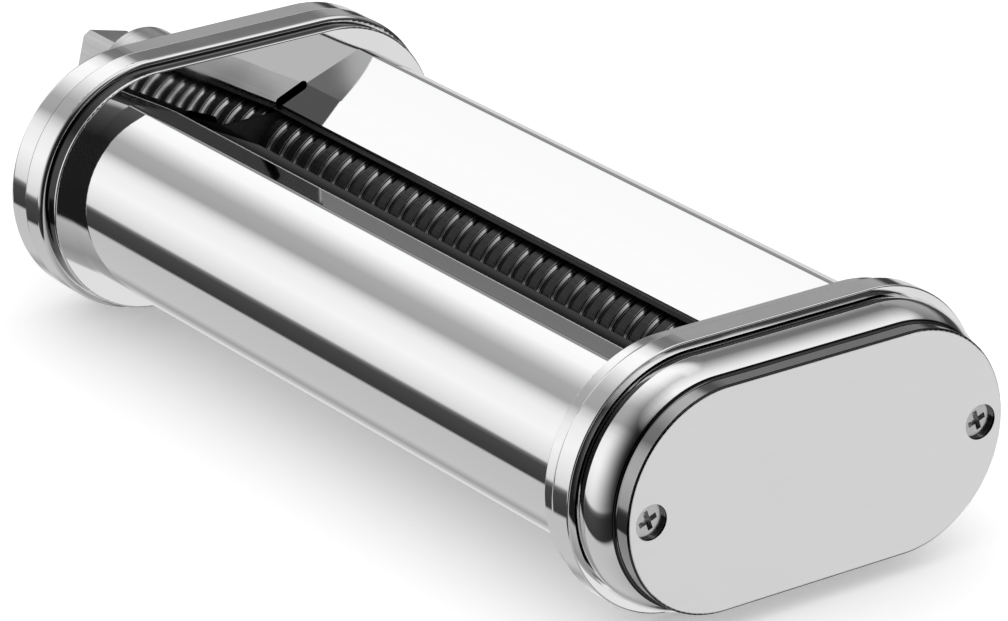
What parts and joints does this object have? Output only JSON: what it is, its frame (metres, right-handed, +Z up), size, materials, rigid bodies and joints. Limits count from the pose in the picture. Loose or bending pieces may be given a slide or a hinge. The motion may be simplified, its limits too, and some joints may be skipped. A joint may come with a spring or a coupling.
{
  "type": "pasta cutter attachment",
  "caption": "Strand cutter attachment with interleaved disc rollers geared together in an oblong polished body, driven by a square shank through a hub collar.",
  "frame": {"origin": "centre of the bounding box's underside, on the surface that the two rims stand on", "axes": "+X along the rollers away from the mixer's hub, +Y towards the driven roller, +Z up to the feed slot"},
  "size_m": [0.2342, 0.087, 0.0486],
  "materials": {
    "plated_casting": "polished plating, satin raised face",
    "polished_sheet": "mirror polished stainless sheet",
    "roller_steel": "turned, polished in the grooves",
    "gear_steel": "cut steel, lightly greased",
    "dark_block": "moulded, matt",
    "bush_bronze": "sintered bronze",
    "collar_casting": "turned, bright",
    "steel": "bright drawn steel"
  },
  "bodies": {
    "body": {"end_cap": "plated_casting", "end_cap_screws": "steel", "end_rim": "plated_casting", "end_side_plate": "polished_sheet", "end_bearing_block": "dark_block", "end_front_bush": "bush_bronze", "end_rear_bush": "bush_bronze", "front_cover": "polished_sheet", "rear_cover": "polished_sheet", "front_comb": "steel", "rear_comb": "steel", "front_comb_rod": "steel", "rear_comb_rod": "steel", "comb_rod_nuts": "steel", "front_tie_rod": "steel", "rear_tie_rod": "steel", "hub_side_plate": "polished_sheet", "hub_bearing_block": "dark_block", "hub_front_bush": "bush_bronze", "hub_rear_bush": "bush_bronze", "hub_rim": "plated_casting", "gear_case": "plated_casting", "gear_case_screws": "steel", "hub_collar": "collar_casting", "collar_screws": "steel", "hub_bush": "bush_bronze", "locating_pin": "steel"},
    "front_roller_unit": {"front_roller": "roller_steel", "front_gear": "gear_steel", "front_rings": "steel"},
    "rear_roller_unit": {"rear_roller": "roller_steel", "rear_gear": "gear_steel", "rear_ring": "steel", "drive_shank": "steel", "cross_pin": "steel"}
  },
  "joints": [
    {"name": "rear_roller_spin", "type": "hinge", "parent": "body", "child": "rear_roller_unit", "pos_m": [0.0228, 0.0095, 0.0243], "axis": [1, 0, 0], "continuous": true},
    {"name": "front_roller_spin", "type": "hinge", "parent": "body", "child": "front_roller_unit", "pos_m": [0.0228, -0.0095, 0.0243], "axis": [1, 0, 0], "continuous": true}
  ],
  "couplings": [
    {"joint": "front_roller_spin", "follows": "rear_roller_spin", "ratio": -1}
  ]
}
